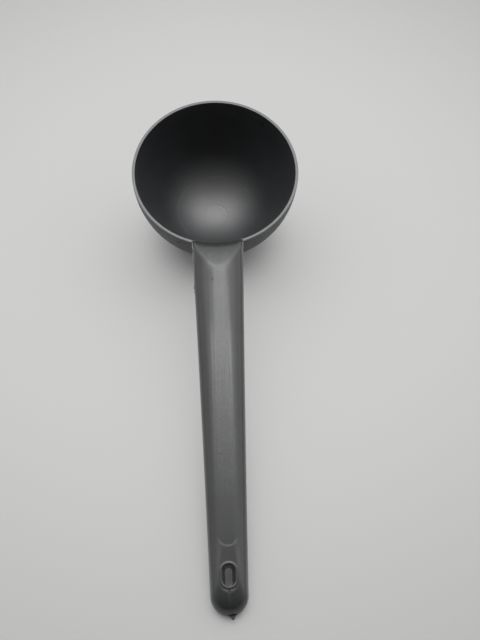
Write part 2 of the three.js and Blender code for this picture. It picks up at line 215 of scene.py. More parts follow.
def crown_relief(x, reach, z):
    """The dished band along the crown and the mound round the slot."""
    lead = smooth((reach - NOSE_TOP) / CROWN_LEAD)
    slope = BAND_HALF_WIDTH - BAND_FLOOR_HALF_WIDTH
    depth = along(reach, BAND_DEPTH, BAND_END_DEPTH)
    z -= depth * smooth((BAND_HALF_WIDTH - off_spine(x, reach, BAND_END)) / slope) * lead
    away = slot_distance(x, reach)
    z += SLOT_LIP_HEIGHT * smooth((SLOT_LIP_WIDTH - away) / SLOT_LIP_TAPER)
    if reach > SLOT_REACH:
        below = smooth((reach - SLOT_REACH - SLOT_HALF_WIDTH) / SLOT_GROOVE_RUN)
        below *= smooth((SLOT_GROOVE_SPAN - abs(x)) / SLOT_GROOVE_FADE)
        z -= SLOT_GROOVE_DEPTH * math.exp(-(((away - SLOT_GROOVE_AWAY) / SLOT_GROOVE_WIDTH) ** 2)) * below
        z -= WELD_DEPTH * math.exp(-((x / WELD_WIDTH) ** 2)) * smooth((away - WELD_START) / WELD_RUN)
    if away < SLOT_ROUND:
        z -= SLOT_ROUND - math.sqrt(max(SLOT_ROUND ** 2 - (SLOT_ROUND - away) ** 2, 0.0))
    return z


# Skins of the two handle shells
class Skin:
    """Grids of points that meet edge to edge and are welded into one mesh."""

    def __init__(self):
        self.points = []
        self.faces = []

    def grid(self, rows):
        """A sheet of four-sided faces through rows of points."""
        start = len(self.points)
        width = len(rows[0])
        for row in rows:
            self.points.extend(row)
        for r in range(len(rows) - 1):
            for c in range(width - 1):
                a = start + r * width + c
                self.faces.append((a, a + 1, a + 1 + width, a + width))

    def face(self, *corners):
        start = len(self.points)
        self.points.extend(corners)
        self.faces.append(tuple(range(start, start + len(corners))))

    def mesh(self, name):
        made = bpy.data.meshes.new(name)
        made.from_pydata([TO_PART @ Vector(p) for p in self.points], [], self.faces)
        return made


def clean(mesh, crease):
    """Welds doubles, faces everything outwards and marks edges sharper than the crease angle."""
    form = bmesh.new()
    form.from_mesh(mesh)
    bmesh.ops.remove_doubles(form, verts=form.verts, dist=2e-6)
    bmesh.ops.dissolve_degenerate(form, edges=form.edges, dist=1e-7)
    bmesh.ops.recalc_face_normals(form, faces=form.faces)
    for face in form.faces:
        face.smooth = True
    for edge in form.edges:
        edge.smooth = len(edge.link_faces) == 2 and edge.calc_face_angle(0.0) < crease
    form.to_mesh(mesh)
    form.free()
    mesh.validate()


# Rows run along the handle as shares of its length, closer together by the ramp and by the slot. From the
# break on, rings round the slot take their place on the flat.
NEAR_RAMP, NEAR_SLOT, AT_SLOT = 0.04, 0.82, 0.915
ROWS = np.concatenate([
    np.linspace(0.0, NEAR_RAMP, 8, endpoint=False),
    np.linspace(NEAR_RAMP, NEAR_SLOT, 90, endpoint=False),
    np.linspace(NEAR_SLOT, AT_SLOT, 36, endpoint=False),
    np.linspace(AT_SLOT, 1.0, 25),
])
BREAK = int(np.searchsorted(ROWS, AT_SLOT))
# Columns run across the flat as shares of its half width, closer together at its edges and the band's
EDGE_COLUMNS = [
    1.0, 0.975, 0.947, 0.918, 0.88, 0.844, 0.807, 0.77, 0.715, 0.66, 0.6, 0.54, 0.47, 0.40, 0.33, 0.26, 0.13,
]
COLUMNS = [-c for c in EDGE_COLUMNS] + [0.0] + EDGE_COLUMNS[::-1]
LEVEL_STEPS = 28
LEVELS = [math.pi / 2 * (i / LEVEL_STEPS) for i in range(LEVEL_STEPS + 1)]
# The rounded end, closer together round the nub at its tip
ARC_DEGREES = [*np.linspace(0, 72, 18), *np.linspace(74, 106, 33), *np.linspace(108, 180, 18)]
ARC = [math.radians(a) for a in ARC_DEGREES]
# Rings round the slot as shares of the way from its edge, closer together near it
SLOT_RING_STEPS, SLOT_RING_CROWDING = 22, 1.8
SLOT_RINGS = [(q / SLOT_RING_STEPS) ** SLOT_RING_CROWDING for q in range(SLOT_RING_STEPS + 1)]


class Half:
    """One side of a handle shell's wall: rings from its foot at the seam to the crown or underside."""

    def __init__(self, start, height, fullness, foot, flat, end_foot, end_flat, front):
        self.start, self.height, self.fullness = start, height, fullness
        self.foot, self.flat = foot, flat
        self.end_foot, self.end_flat = end_foot, end_flat
        self.front = front

    def level(self, level):
        """Shares of the way out and up at an angle: 0 at the seam, a quarter turn at the top."""
        power = 2 / self.fullness
        spread = max(math.cos(level), 0.0) ** power
        return (1.0 if level == 0 else spread), math.sin(level) ** power

    def settle(self, x, reach, rise, out, foot):
        """A point of the wall; out and foot are its distance and its foot's from the handle's middle line."""
        return (x, -reach, lerp(self.start, self.height(reach), rise))

    def side(self, sign, t, level):
        """A point of the left or right wall; t runs from the bowl to the rounded end."""
        spread, rise = self.level(level)
        foot, flat = self.foot(t, spread, rise), self.flat(t, spread, rise)
        out = lerp(flat[0], foot[0], spread)
        return self.settle(sign * out, lerp(flat[1], foot[1], spread), rise, out, foot[0])

    def end(self, angle, level):
        """A point of the wall round the end."""
        spread, rise = self.level(level)
        radius = lerp(self.end_flat[1], self.end_foot[1], spread)
        centre = lerp(self.end_flat[0], self.end_foot[0], spread)
        x, reach = -radius * math.cos(angle), centre + radius * math.sin(angle)
        return self.swell_end(*self.settle(x, reach, rise, radius, self.end_foot[1]))

    def swell_end(self, x, y, z):
        return (x, y, z)

    def add_wall(self, skin):
        for sign in (-1, 1):
            skin.grid([[self.side(sign, t, level) for t in ROWS] for level in LEVELS])
        skin.grid([[self.end(a, level) for a in ARC] for level in LEVELS])

    def on_flat(self, x, reach):
        return self.settle(x, reach, 1.0, 0.0, 1.0)

    def add_flat(self, skin, slot_grow, slot_draft, slot_wall):
        """The flat with its hole for the slot, and the slot's wall; gives the wall's last ring."""
        top = math.pi / 2
        skin.grid([[self.flat_point(t, u) for u in COLUMNS] for t in ROWS[:BREAK + 1]])
        border = [self.flat_point(ROWS[BREAK], u) for u in COLUMNS]
        border += [self.side(1, t, top) for t in ROWS[BREAK + 1:]]
        border += [self.end(a, top) for a in ARC[-2:0:-1]]
        border += [self.side(-1, t, top) for t in ROWS[:BREAK:-1]]
        border.append(border[0])
        undercut = SLOT_UNDERCUT if slot_draft else 0.0
        rings = []
        for near in SLOT_RINGS:
            ring = []
            for x, y, _ in border:
                edge_x, edge_reach = slot_edge(x, -y, slot_grow, slot_draft, undercut)
                ring.append(self.on_flat(lerp(edge_x, x, near), lerp(edge_reach, -y, near)))
            rings.append(ring)
        for height in slot_wall:
            edges = [slot_edge(x, -y, slot_grow, 0.0) for x, y, _ in border]
            rings.insert(0, [(x, -reach, height(reach)) for x, reach in edges])
        skin.grid(rings)
        return rings[0]


class UpperHalf(Half):
    """A wall of the upper shell, which ends in a nose at the bowl."""

    def __init__(self, inset, crown_half, crown_front, front_radius, drop):
        corner = on_circle(front_radius, LIP_HALF_WIDTH - inset)

        def foot(t, spread, rise):
            reach = lerp(corner, END_CENTRE, t)
            return half_width(reach) - inset - ledge_at(reach), reach

        def flat(t, spread, rise):
            return crown_half, lerp(crown_front, CROWN_END, t)

        def height(reach):
            return crown_at(reach) - drop

        super().__init__(
            SEAM, height, FLANK_FULLNESS, foot, flat,
            (END_CENTRE, END_HALF_WIDTH - LEDGE_END - inset), (CROWN_END, crown_half), front_radius,
        )
        self.crown_half, self.crown_front = crown_half, crown_front

    def on_flat(self, x, reach):
        t = (reach - self.crown_front) / (CROWN_END - self.crown_front)
        foot, _ = self.foot(min(t, 1.0), 0.0, 1.0)
        return self.settle(x, reach, 1.0, off_spine(x, reach, CROWN_END), foot)

    def flat_point(self, t, u):
        return self.on_flat(u * self.crown_half, lerp(self.crown_front, CROWN_END, t))

    def ramp(self, u, level):
        """The nose that runs down from the crown to the bowl's rim."""
        spread, rise = self.level(level)
        foot, _ = self.foot(0.0, 1.0, 0.0)
        x = u * lerp(self.crown_half, foot, spread)
        reach = lerp(self.crown_front, on_circle(self.front, u * foot), spread)
        return self.settle(x, reach, rise, abs(x), foot)

    def add_ramp(self, skin):
        skin.grid([[self.ramp(u, level) for u in COLUMNS] for level in LEVELS])


class Crown(UpperHalf):
    """The outside of the upper shell: a low arch whose hips run down to the corners of the nose."""

    def __init__(self):
        super().__init__(0.0, CROWN_HALF_WIDTH, NOSE_TOP, BOWL_RADIUS, 0.0)

    def settle(self, x, reach, rise, out, foot):
        past_nose = smooth((reach - NOSE_TOP) / ROOT_RUN)
        level = lerp(ROOT_LEVEL_HALF_WIDTH, CROWN_LEVEL_HALF_WIDTH, past_nose)
        level = lerp(level, END_LEVEL_HALF_WIDTH, smooth((reach - BAND_END) / (CROWN_END - BAND_END)))
        fullness = lerp(NOSE_FULLNESS, FLANK_FULLNESS, smooth((reach - BOWL_RADIUS) / NOSE_LENGTH))
        flank = 1 - bow((out - level) / (foot - level), fullness)
        nose = max((NOSE_TOP - reach) / (NOSE_TOP - on_circle(BOWL_RADIUS, x)), 0.0) ** 2
        drop = (flank ** HIP_SHARPNESS + nose ** HIP_SHARPNESS) ** (1 / HIP_SHARPNESS)
        z = lerp(SEAM, crown_at(reach), max(1 - drop, 0.0))
        return (x, -reach, crown_relief(x, reach, z))


class LowerHalf(Half):
    """A wall of the lower shell, which stops at the outside of the bowl."""

    def __init__(self, inset, flat_inset, lift):
        def narrow(spread):
            return lerp(flat_inset, inset, spread)

        def outside(z, x):
            grown = BOWL_OUTER_DEPTH + CLEARANCE
            radius = (BOWL_OUTER + CLEARANCE) * math.sqrt(1 - (z / grown) ** 2)
            return on_circle(radius, x)

        def front(x_at, rise):
            # reach and height depend on each other, so they are found in turns
            reach = BOWL_OUTER
            for _ in range(12):
                reach = outside(lerp(self.start, self.height(reach), rise), x_at(reach))
            return reach

        def edge(t, spread, rise):
            def width_at(reach):
                return half_width(reach) - narrow(spread)

            reach = lerp(front(width_at, rise), END_CENTRE, t)
            return width_at(reach), reach

        def height(reach):
            return under_at(reach) + lift

        super().__init__(
            -SEAM, height, UNDER_FULLNESS, edge, edge,
            (END_CENTRE, END_HALF_WIDTH - inset), (END_CENTRE, END_HALF_WIDTH - flat_inset), None,
        )
        self.flat_inset, self.find_front = flat_inset, front
        self.nub = 0.0

    def swell_end(self, x, y, z):
        """The nub of flash at the tip: a blunt thorn that leans to the right."""
        push = math.exp(-(abs((x - NUB_OFFSET) / (NUB_HALF_WIDTH * NUB_SLIMNESS)) ** NUB_BLUNTNESS))
        push *= smooth((z + NUB_THICKNESS * NUB_DROP) / NUB_THICKNESS) if y < -END_CENTRE else 0.0
        return (x + NUB_LEAN * push * push, y - self.nub * push, z)

    def flat_point(self, t, u):
        def across(reach):
            return u * (half_width(reach) - self.flat_inset)

        reach = lerp(self.find_front(across, 1.0), END_CENTRE, t)
        return self.on_flat(across(reach), reach)


def upper_shell_mesh():
    """The crowned top of the handle, hollow and open at the seam."""
    skin = Skin()
    outer = Crown()
    inner = UpperHalf(WALL, CROWN_HALF_WIDTH - WALL / 2, NOSE_TOP + WALL / 2, BOWL_RADIUS + NOSE_WALL, WALL)

    def ceiling(reach):
        return crown_at(reach) - WALL

    def slot_shoulder(reach):
        return crown_at(reach) - SLOT_ROUND

    for half in (outer, inner):
        half.add_wall(skin)
        half.add_ramp(skin)
    outer.add_flat(skin, 0.0, 0.0, [slot_shoulder, ceiling])
    inner.add_flat(skin, 0.0, 0.0, [])
    # the seam face round the sides and the end
    for sign in (-1, 1):
        skin.grid([[half.side(sign, t, 0.0) for t in ROWS] for half in (outer, inner)])
    skin.grid([[half.end(a, 0.0) for a in ARC] for half in (outer, inner)])
    # the lip that lies in the notch of the rim
    across = [u * LIP_HALF_WIDTH for u in COLUMNS]
    lip = [
        [outer.ramp(u, 0.0) for u in COLUMNS],
        [(x, -on_circle(BOWL_RADIUS, x), LIP_BOTTOM) for x in across],
        [(x, -on_circle(BOWL_OUTER, x), LIP_BOTTOM) for x in across],
        [(x, -on_circle(BOWL_OUTER, x), SEAM) for x in across],
        [inner.ramp(u, 0.0) for u in COLUMNS],
    ]
    skin.grid(lip)
    for column in (0, -1):
        skin.face(*[row[column] for row in lip[:4]])
        skin.face(lip[0][column], lip[3][column], lip[4][column])
    return skin.mesh("handle_upper_shell")


def lower_shell_mesh():
    """The underside of the handle, hollow and open at the seam, with the sleeve of the slot."""
    skin = Skin()
    outer = LowerHalf(0.0, UNDER_FLAT_INSET, 0.0)
    outer.nub = NUB_LENGTH
    inner = LowerHalf(WALL, UNDER_FLAT_INSET + WALL / 2, WALL)

    def sleeve_top(reach):
        return crown_at(reach) - WALL - CLEARANCE

    for half in (outer, inner):
        half.add_wall(skin)
    throat = outer.add_flat(skin, 0.0, SLOT_DRAFT, [sleeve_top])
    sleeve = inner.add_flat(skin, SLEEVE_WALL, 0.0, [sleeve_top])
    skin.grid([throat, sleeve])
    for sign in (-1, 1):
        skin.grid([[half.side(sign, t, 0.0) for t in ROWS] for half in (outer, inner)])
        # the saddle against the bowl
        skin.grid([[half.side(sign, 0.0, level) for level in LEVELS] for half in (outer, inner)])
    skin.grid([[half.flat_point(0.0, u) for u in COLUMNS] for half in (outer, inner)])
    skin.grid([[half.end(a, 0.0) for a in ARC] for half in (outer, inner)])
    return skin.mesh("handle_lower_shell")


# Bowl: a turned profile
def bowl_profile():
    """Half section of the bowl from the middle of its foot round the rim to the middle of the inside."""
    outer_steps, rim_steps, inner_steps = 64, 5, 76
    points = []
    for i in range(outer_steps, 0, -1):
        a = math.pi / 2 * i / outer_steps
        points.append((BOWL_OUTER * math.cos(a), -BOWL_OUTER_DEPTH * math.sin(a)))
    for i in range(rim_steps + 1):
        a = math.pi / 2 * i / rim_steps
        points.append((BOWL_OUTER - RIM_ROUND * (1 - math.cos(a)), RIM_TOP - RIM_ROUND * (1 - math.sin(a))))
    for i in range(rim_steps + 1):
        a = math.pi / 2 * i / rim_steps
        points.append((BOWL_RADIUS + RIM_ROUND * (1 - math.sin(a)), RIM_TOP - RIM_ROUND * (1 - math.cos(a))))
    gate = math.acos(GATE_RADIUS / BOWL_RADIUS)
    ring = math.acos(RING_RADIUS / BOWL_RADIUS)
    angles = [math.pi / 2 * i / inner_steps for i in range(1, inner_steps + 1)]
    # finer steps round the mould ring and the gate mark
    ring_step, gate_step = 0.004, 0.003
    angles += [ring + i * ring_step for i in range(-6, 7)]
    angles += [gate + i * gate_step for i in range(-8, 9)]
    for a in sorted(angles):
        if -BOWL_DEPTH * math.sin(a) > RIM_TOP - RIM_ROUND:
            continue
        r, z = BOWL_RADIUS * math.cos(a), -BOWL_DEPTH * math.sin(a)
        swell = RING_SWELL * math.exp(-(((a - ring) / RING_SPREAD) ** 2))
        length = math.hypot(r / BOWL_RADIUS ** 2, z / BOWL_DEPTH ** 2)
        points.append((r - swell * r / BOWL_RADIUS ** 2 / length, z - swell * z / BOWL_DEPTH ** 2 / length))
    return points


# Node trees
def new_tree(name, inputs):
    """A Geometry Nodes tree with named inputs (name, kind, value)."""
    tree = bpy.data.node_groups.new(name, "GeometryNodeTree")
    tree.interface.new_socket("Geometry", in_out="INPUT", socket_type="NodeSocketGeometry")
    for label, kind, value in inputs:
        socket = tree.interface.new_socket(label, in_out="INPUT", socket_type=kind)
        if value is not None:
            socket.default_value = value
    tree.interface.new_socket("Geometry", in_out="OUTPUT", socket_type="NodeSocketGeometry")
    source = tree.nodes.new("NodeGroupInput")
    result = tree.nodes.new("NodeGroupOutput")
    return tree, source, result


def put(tree, kind, links=None, **settings):
    """Adds a node, sets its properties and feeds its inputs with sockets or plain values."""
    node = tree.nodes.new(kind)
    for key, value in settings.items():
        setattr(node, key, value)
    for key, value in (links or {}).items():
        if isinstance(value, bpy.types.NodeSocket):
            tree.links.new(value, node.inputs[key])
        else:
            node.inputs[key].default_value = value
    return node


def maths(tree, operation, a, b=0.0):
    return put(tree, "ShaderNodeMath", {0: a, 1: b}, operation=operation).outputs[0]


def ramp(tree, value, start, stop):
    """Rises smoothly from 0 at the start value to 1 at the stop value, which may be the lower one."""
    ends = {"Value": value, "From Min": start, "From Max": stop}
    return put(tree, "ShaderNodeMapRange", ends, interpolation_type="SMOOTHSTEP").outputs[0]


def product(tree, first, *others):
    for other in others:
        first = maths(tree, "MULTIPLY", first, other)
    return first


def clad_and_end(tree, geometry, source, result):
    """Ends a Geometry Nodes tree with real geometry in the material of its Material input."""
    real = put(tree, "GeometryNodeRealizeInstances", {0: geometry})
    clad = put(tree, "GeometryNodeSetMaterial", {
        "Geometry": real.outputs[0], "Material": source.outputs["Material"],
    })
    tree.links.new(clad.outputs[0], result.inputs[0])


def turned_bowl_tree():
    """Turns the profile round the axis, cuts the notch for the handle and adds the tang behind it."""
    tree, source, result = new_tree("turned_bowl", [
        ("Segments", "NodeSocketInt", 224),
        ("Notch Half Width", "NodeSocketFloat", LIP_HALF_WIDTH + CLEARANCE),
        ("Notch Depth", "NodeSocketFloat", NOTCH_DEPTH),
        ("Notch Reach", "NodeSocketFloat", BOWL_RADIUS),
        ("Gate Radius", "NodeSocketFloat", GATE_RADIUS),
        ("Gate Groove Depth", "NodeSocketFloat", GATE_GROOVE_DEPTH),
        ("Gate Groove Half Width", "NodeSocketFloat", GATE_GROOVE_HALF_WIDTH),
        ("Tip", "NodeSocketFloat", TIP),
        ("Rim Centre", "NodeSocketVector", RIM_CENTRE),
        ("Material", "NodeSocketMaterial", None),
    ])
    profile = source.outputs["Geometry"]
    domain = put(tree, "GeometryNodeAttributeDomainSize", {0: profile}, component="MESH")
    count = domain.outputs["Point Count"]
    columns = maths(tree, "ADD", source.outputs["Segments"], 1.0)
    sheet = put(tree, "GeometryNodeMeshGrid", {"Vertices X": columns, "Vertices Y": count})
    index = put(tree, "GeometryNodeInputIndex").outputs[0]
    column = maths(tree, "FLOOR", maths(tree, "DIVIDE", index, count))
    row = maths(tree, "MODULO", index, count)
    turn = maths(tree, "DIVIDE", maths(tree, "MULTIPLY", column, 2 * math.pi), source.outputs["Segments"])
    where = put(tree, "GeometryNodeInputPosition").outputs[0]
    sample = put(tree, "GeometryNodeSampleIndex", {0: profile}, data_type="FLOAT_VECTOR", domain="POINT")
    tree.links.new(where, sample.inputs["Value"])
    tree.links.new(row, sample.inputs["Index"])
    section = put(tree, "ShaderNodeSeparateXYZ", {0: sample.outputs["Value"]})
    radius, height = section.outputs["X"], section.outputs["Z"]
    x = maths(tree, "MULTIPLY", radius, maths(tree, "COSINE", turn))
    y = maths(tree, "MULTIPLY", radius, maths(tree, "SINE", turn))
    # a broken groove marks where the gate was cut off, in the bottom of the inside
    patch = put(tree, "ShaderNodeCombineXYZ", {"X": x, "Y": y})
    ragged = put(tree, "ShaderNodeTexNoise", {"Vector": patch.outputs[0], "Scale": 0.35, "Detail": 2.0})
    broken = ramp(tree, ragged.outputs[0], 0.42, 0.56)
    wander = maths(tree, "MULTIPLY", maths(tree, "SUBTRACT", ragged.outputs[0], 0.5), 2.0)
    centre_line = maths(tree, "ADD", source.outputs["Gate Radius"], wander)
    off = maths(tree, "ABSOLUTE", maths(tree, "SUBTRACT", radius, centre_line))
    near = ramp(tree, maths(tree, "DIVIDE", off, source.outputs["Gate Groove Half Width"]), 1.0, 0.0)
    # at the gate's radius the outside lies lower than this
    inside = maths(tree, "GREATER_THAN", height, -BOWL_DEPTH - 0.01)
    groove = product(tree, broken, near, source.outputs["Gate Groove Depth"])
    z = maths(tree, "SUBTRACT", height, maths(tree, "MULTIPLY", groove, inside))
    place = put(tree, "ShaderNodeCombineXYZ", {"X": x, "Y": y, "Z": z})
    wrapped = put(tree, "GeometryNodeSetPosition", {
        "Geometry": sheet.outputs["Mesh"], "Position": place.outputs[0],
    })
    closed = put(tree, "GeometryNodeMergeByDistance", {"Geometry": wrapped.outputs[0], "Distance": 0.002})
    # the notch, cut by a block longer than the wall is thick
    size = put(tree, "ShaderNodeCombineXYZ", {
        "X": maths(tree, "MULTIPLY", source.outputs["Notch Half Width"], 2.0),
        "Y": NOTCH_CUT,
        "Z": maths(tree, "MULTIPLY", source.outputs["Notch Depth"], 2.0),
    })
    block = put(tree, "GeometryNodeMeshCube", {"Size": size.outputs[0]})
    behind = maths(tree, "MULTIPLY", source.outputs["Notch Reach"], -1.0)
    back = put(tree, "ShaderNodeCombineXYZ", {"Y": behind})
    moved = put(tree, "GeometryNodeTransform", {
        "Geometry": block.outputs["Mesh"], "Translation": back.outputs[0],
    })
    notched = put(tree, "GeometryNodeMeshBoolean", operation="DIFFERENCE", solver="EXACT")
    tree.links.new(closed.outputs[0], notched.inputs["Mesh 1"])
    tree.links.new(moved.outputs[0], notched.inputs["Mesh 2"])
    # the tang
    start = BOWL_RADIUS + BOWL_WALL / 2
    tang = put(tree, "GeometryNodeMeshCube", {
        "Size": (2 * TANG_HALF_WIDTH, BOWL_OUTER + TANG_LENGTH - start, TANG_THICKNESS),
    })
    tang_place = (0.0, -(BOWL_OUTER + TANG_LENGTH + start) / 2, -NOTCH_DEPTH - TANG_THICKNESS / 2)
    tang_set = put(tree, "GeometryNodeTransform", {
        "Geometry": tang.outputs["Mesh"], "Translation": tang_place,
    })
    whole = put(tree, "GeometryNodeMeshBoolean", operation="UNION", solver="EXACT")
    tree.links.new(notched.outputs[0], whole.inputs["Mesh 2"])
    tree.links.new(tang_set.outputs[0], whole.inputs["Mesh 2"])
    # into the part's frame, in metres
    turn_tip = put(tree, "ShaderNodeCombineXYZ", {"X": source.outputs["Tip"]})
    laid = put(tree, "GeometryNodeTransform", {
        "Geometry": whole.outputs[0],
        "Translation": source.outputs["Rim Centre"],
        "Rotation": turn_tip.outputs[0],
        "Scale": (MM, MM, MM),
    })
    # the flat under the bowl, in the plane of the table
    lowest = FOOT_LIFT * MM
    spot = put(tree, "ShaderNodeSeparateXYZ", {0: put(tree, "GeometryNodeInputPosition").outputs[0]})
    lifted = maths(tree, "MAXIMUM", spot.outputs["Z"], lowest)
    level = put(tree, "ShaderNodeCombineXYZ", {"X": spot.outputs["X"], "Y": spot.outputs["Y"], "Z": lifted})
    footed = put(tree, "GeometryNodeSetPosition", {"Geometry": laid.outputs[0], "Position": level.outputs[0]})
    clad_and_end(tree, footed.outputs[0], source, result)
    return tree


def seam_flash_tree():
    """A thin bead of squeezed-out plastic along a path, thick and thin by a fixed noise."""
    tree, source, result = new_tree("seam_flash", [
        ("Bead Radius", "NodeSocketFloat", 0.16 * MM),
        ("Raggedness", "NodeSocketFloat", 0.9),
        ("Grain", "NodeSocketFloat", 900.0),
        ("Seed", "NodeSocketFloat", 3.0),
        ("Material", "NodeSocketMaterial", None),
    ])
    path = put(tree, "GeometryNodeMeshToCurve", {"Mesh": source.outputs["Geometry"]})
    swell = put(tree, "GeometryNodeInputNamedAttribute", {"Name": "swell"}, data_type="FLOAT")
    ragged = put(tree, "ShaderNodeTexNoise", {
        "W": source.outputs["Seed"], "Scale": source.outputs["Grain"], "Detail": 2.0,
    }, noise_dimensions="4D")
    about_zero = maths(tree, "SUBTRACT", ragged.outputs[0], 0.5)
    uneven = maths(tree, "MULTIPLY", about_zero, source.outputs["Raggedness"])
    factor = maths(tree, "MULTIPLY", maths(tree, "ADD", uneven, 1.0), swell.outputs[0])
    thick = put(tree, "GeometryNodeSetCurveRadius", {"Curve": path.outputs[0], "Radius": factor})
    ring = put(tree, "GeometryNodeCurvePrimitiveCircle", {
        "Resolution": 7, "Radius": source.outputs["Bead Radius"],
    })
    bead = put(tree, "GeometryNodeCurveToMesh", {
        "Curve": thick.outputs[0], "Profile Curve": ring.outputs[0], "Fill Caps": True,
    })
    # where the bead's thickness is an input of this node, the curve's radius alone has no effect
    if "Scale" in bead.inputs:
        tree.links.new(factor, bead.inputs["Scale"])
    clad_and_end(tree, bead.outputs[0], source, result)
    return tree


def grow(name, base, tree, values):
    """Runs a Geometry Nodes tree on a base mesh and keeps the result as a plain mesh."""
    carrier = bpy.data.objects.new(name + "_base", base)
    bpy.context.scene.collection.objects.link(carrier)
    modifier = carrier.modifiers.new(name, "NODES")
    modifier.node_group = tree
    for socket in tree.interface.items_tree:
        if socket.in_out == "INPUT" and socket.name in values:
            modifier[socket.identifier] = values[socket.name]
    graph = bpy.context.evaluated_depsgraph_get()
    made = bpy.data.meshes.new_from_object(carrier.evaluated_get(graph), depsgraph=graph)
    made.name = name
    bpy.data.objects.remove(carrier)
    bpy.data.meshes.remove(base)
    return made


CREASE = math.radians(38)


def add_piece(name, mesh, material, nodes):
    """Adds a finished mesh to the part, in place of the nodes that it stands for."""
    clean(mesh, CREASE)
    if not mesh.materials:
        mesh.materials.append(material)
    piece = bpy.data.objects.new(name, mesh)
    bpy.context.scene.collection.objects.link(piece)
    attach(piece, "root")
    if nodes:
        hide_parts(*nodes)


# Materials
PLASTIC_DARK, PLASTIC_LIGHT = 0.029, 0.036
HANDLE_HUE = (0.94, 1.0, 0.97)
BOWL_HUE = (0.95, 1.0, 1.09)
FLOOR_HUE = (1.0, 1.0, 0.992)
DUST_GREY = PLASTIC_DARK * 0.35
CRUMB_GREY = PLASTIC_DARK * 0.2
DARK_PATCH_GREY = PLASTIC_DARK * 0.3
RING_HIGHLIGHT_GREY = PLASTIC_LIGHT * 3.0
BLOTCH_GREY = PLASTIC_LIGHT * 2.4
GRAIN_GLOSS, GRAIN_HEIGHT = 0.12, 0.007
SPOT_CORE = 0.4


def group_of(name, inputs, outputs):
    """A shader node group with named inputs (name, kind, value) and outputs (name, kind)."""
    tree = bpy.data.node_groups.new(name, "ShaderNodeTree")
    for label, kind, value in inputs:
        socket = tree.interface.new_socket(label, in_out="INPUT", socket_type=kind)
        if value is not None:
            socket.default_value = value
    for label, kind in outputs:
        tree.interface.new_socket(label, in_out="OUTPUT", socket_type=kind)
    return tree, tree.nodes.new("NodeGroupInput"), tree.nodes.new("NodeGroupOutput")


def noise(tree, vector, scale, detail, roughness=0.5):
    texture = put(tree, "ShaderNodeTexNoise", {
        "Vector": vector, "Scale": scale, "Detail": detail, "Roughness": roughness,
    })
    return texture.outputs[0]


def stretched(tree, vector, scale):
    return put(tree, "ShaderNodeVectorMath", {0: vector, 1: scale}, operation="MULTIPLY").outputs[0]


def length_of(tree, vector):
    return put(tree, "ShaderNodeVectorMath", {0: vector}, operation="LENGTH").outputs["Value"]


def moulded_skin_group():
    """What a moulded grey plastic shows all over: slow clouds, fine grain and specks of dust."""
    tree, source, result = group_of(
        "moulded_skin", [("Vector", "NodeSocketVector", None), ("Dust", "NodeSocketFloat", 0.5)],
        [("Clouds", "NodeSocketFloat"), ("Grain", "NodeSocketFloat"), ("Specks", "NodeSocketFloat")],
    )
    vector = source.outputs["Vector"]
    clouds = noise(tree, vector, scale=0.06, detail=4.0, roughness=0.6)
    grain = noise(tree, vector, scale=1.6, detail=3.0, roughness=0.7)
    cells = put(tree, "ShaderNodeTexVoronoi", {"Vector": vector, "Scale": 0.42, "Randomness": 1.0})
    speck = ramp(tree, cells.outputs["Distance"], 0.17, 0.06)
    pick = put(tree, "ShaderNodeSeparateColor", {0: cells.outputs["Color"]})
    few = maths(tree, "LESS_THAN", pick.outputs[0], source.outputs["Dust"])
    tree.links.new(clouds, result.inputs["Clouds"])
    tree.links.new(grain, result.inputs["Grain"])
    tree.links.new(maths(tree, "MULTIPLY", speck, few), result.inputs["Specks"])
    return tree


SCUFF_SHIFT = (3.7, 11.3, 5.9)


def scuffs_group():
    """Rub marks that run along the handle, and ripples across it."""
    tree, source, result = group_of(
        "scuffs", [("Vector", "NodeSocketVector", None)],
        [("Streaks", "NodeSocketFloat"), ("Ripples", "NodeSocketFloat")],
    )
    # the shift takes another stretch of the noise than the skin's clouds and grain
    shifted = {0: source.outputs["Vector"], 1: SCUFF_SHIFT}
    vector = put(tree, "ShaderNodeVectorMath", shifted, operation="ADD").outputs[0]
    drawn_out = stretched(tree, vector, (1.5, 0.035, 1.5))
    fine = noise(tree, drawn_out, scale=1.0, detail=3.0, roughness=0.65)
    streaks = ramp(tree, fine, 0.52, 0.72)
    wander = noise(tree, stretched(tree, vector, (0.2, 0.85, 0.2)), scale=1.0, detail=1.0)
    tree.links.new(streaks, result.inputs["Streaks"])
    tree.links.new(ramp(tree, wander, 0.45, 0.6), result.inputs["Ripples"])
    return tree


SKIN_GROUP = moulded_skin_group()
SCUFF_GROUP = scuffs_group()


def scoop_vector(tree):
    """Object coordinates turned into the scoop's own axes, in millimetres."""
    coordinates = put(tree, "ShaderNodeTexCoord")
    back = Matrix.Rotation(-TIP, 3, "X")
    shift = back @ RIM_CENTRE * (-1 / MM)
    mapping = put(tree, "ShaderNodeMapping", {
        "Vector": coordinates.outputs["Object"],
        "Location": shift,
        "Rotation": (-TIP, 0.0, 0.0),
        "Scale": (1 / MM, 1 / MM, 1 / MM),
    })
    return mapping.outputs[0]


def mixed(tree, factor, a, b):
    node = put(tree, "ShaderNodeMix", data_type="RGBA")
    for socket, value in ((node.inputs[0], factor), (node.inputs[6], a), (node.inputs[7], b)):
        if isinstance(value, bpy.types.NodeSocket):
            tree.links.new(value, socket)
        else:
            socket.default_value = value
    return node.outputs[2]


def grey(level, hue=(1.0, 1.0, 1.0)):
    return (level * hue[0], level * hue[1], level * hue[2], 1.0)


